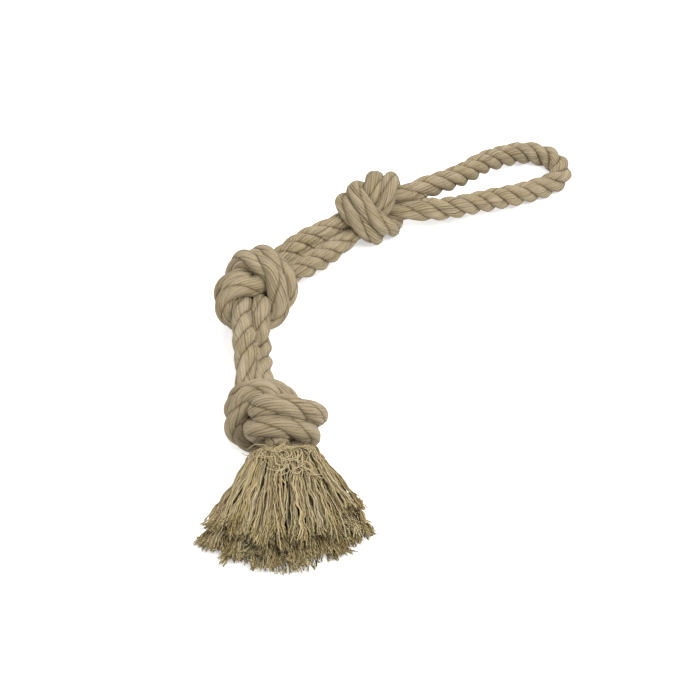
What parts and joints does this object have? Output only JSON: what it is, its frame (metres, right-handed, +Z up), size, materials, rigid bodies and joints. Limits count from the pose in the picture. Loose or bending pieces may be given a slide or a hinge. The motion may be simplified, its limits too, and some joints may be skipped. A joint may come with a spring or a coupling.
{
  "type": "rope dog toy",
  "caption": "Doubled three-strand rope tug toy with knots along its length, a hand loop at one end and a frayed tassel at the other.",
  "frame": {"origin": "on the floor below the middle of the toy's bounding box", "axes": "+Z up, +X towards the side that the hand loop points to, +Y from the tassel towards the loop"},
  "size_m": [0.3398, 0.5082, 0.0709],
  "materials": {
    "hemp_rope": "matte",
    "frayed_hemp": "matte"
  },
  "bodies": {
    "middle_knot": {"middle_knot_rope_a": "hemp_rope", "middle_knot_rope_b": "hemp_rope"},
    "upper_span": {"upper_span_rope_a": "hemp_rope", "upper_span_rope_b": "hemp_rope"},
    "handle_knot": {"handle_knot_rope_a": "hemp_rope", "handle_knot_rope_b": "hemp_rope"},
    "loop_legs": {"loop_leg_a": "hemp_rope", "loop_leg_b": "hemp_rope"},
    "loop_grip": {"handle_loop": "hemp_rope"},
    "lower_span": {"lower_span_rope_a": "hemp_rope", "lower_span_rope_b": "hemp_rope"},
    "bottom_knot": {"bottom_knot_rope_a": "hemp_rope", "bottom_knot_rope_b": "hemp_rope"},
    "tassel_root": {"root_strand_a1": "frayed_hemp", "root_strand_a2": "frayed_hemp", "root_strand_a3": "frayed_hemp", "root_strand_b1": "frayed_hemp", "root_strand_b2": "frayed_hemp", "root_strand_b3": "frayed_hemp"},
    "tassel": {"tassel_tuft_a1_1": "frayed_hemp", "tassel_tuft_a1_2": "frayed_hemp", "tassel_tuft_a2_1": "frayed_hemp", "tassel_tuft_a2_2": "frayed_hemp", "tassel_tuft_a3_1": "frayed_hemp", "tassel_tuft_a3_2": "frayed_hemp", "tassel_tuft_b1_1": "frayed_hemp", "tassel_tuft_b1_2": "frayed_hemp", "tassel_tuft_b2_1": "frayed_hemp", "tassel_tuft_b2_2": "frayed_hemp", "tassel_tuft_b3_1": "frayed_hemp", "tassel_tuft_b3_2": "frayed_hemp"}
  },
  "joints": [
    {"name": "upper_span_swing", "type": "hinge", "parent": "middle_knot", "child": "upper_span", "pos_m": [-0.0892, 0.0855, 0.0253], "axis": [0, 0, 1], "range_deg": [-45, 45], "deforming": ["upper_span_rope_a", "upper_span_rope_b"]},
    {"name": "handle_knot_lift", "type": "hinge", "parent": "upper_span", "child": "handle_knot", "pos_m": [-0.0578, 0.1178, 0.0201], "axis": [0.7181, -0.6959, 0], "range_deg": [-45, 45], "deforming": ["upper_span_rope_a", "upper_span_rope_b"]},
    {"name": "loop_swing", "type": "hinge", "parent": "handle_knot", "child": "loop_legs", "pos_m": [0.0302, 0.1642, 0.0268], "axis": [0, 0, 1], "range_deg": [-45, 45], "deforming": ["loop_leg_a", "loop_leg_b"]},
    {"name": "loop_lift", "type": "hinge", "parent": "loop_legs", "child": "loop_grip", "pos_m": [0.0613, 0.1769, 0.0242], "axis": [0.3907, -0.9205, 0], "range_deg": [-60, 75], "deforming": ["loop_leg_a", "loop_leg_b"]},
    {"name": "lower_span_swing", "type": "hinge", "parent": "middle_knot", "child": "lower_span", "pos_m": [-0.128, -0.0092, 0.0297], "axis": [0, 0, 1], "range_deg": [-45, 45], "deforming": ["lower_span_rope_a", "lower_span_rope_b"]},
    {"name": "bottom_knot_lift", "type": "hinge", "parent": "lower_span", "child": "bottom_knot", "pos_m": [-0.1254, -0.0547, 0.028], "axis": [-0.9986, -0.0523, 0], "range_deg": [-45, 45], "deforming": ["lower_span_rope_a", "lower_span_rope_b"]},
    {"name": "tassel_swing", "type": "hinge", "parent": "bottom_knot", "child": "tassel_root", "pos_m": [-0.0993, -0.151, 0.03], "axis": [0, 0, 1], "range_deg": [-20, 20], "deforming": ["root_strand_a1", "root_strand_a2", "root_strand_a3", "root_strand_b1", "root_strand_b2", "root_strand_b3"]},
    {"name": "tassel_lift", "type": "hinge", "parent": "tassel_root", "child": "tassel", "pos_m": [-0.0996, -0.1593, 0.03], "axis": [-1, -0.0087, 0], "range_deg": [-25, 40], "deforming": ["root_strand_a1", "root_strand_a2", "root_strand_a3", "root_strand_b1", "root_strand_b2", "root_strand_b3"]}
  ]
}
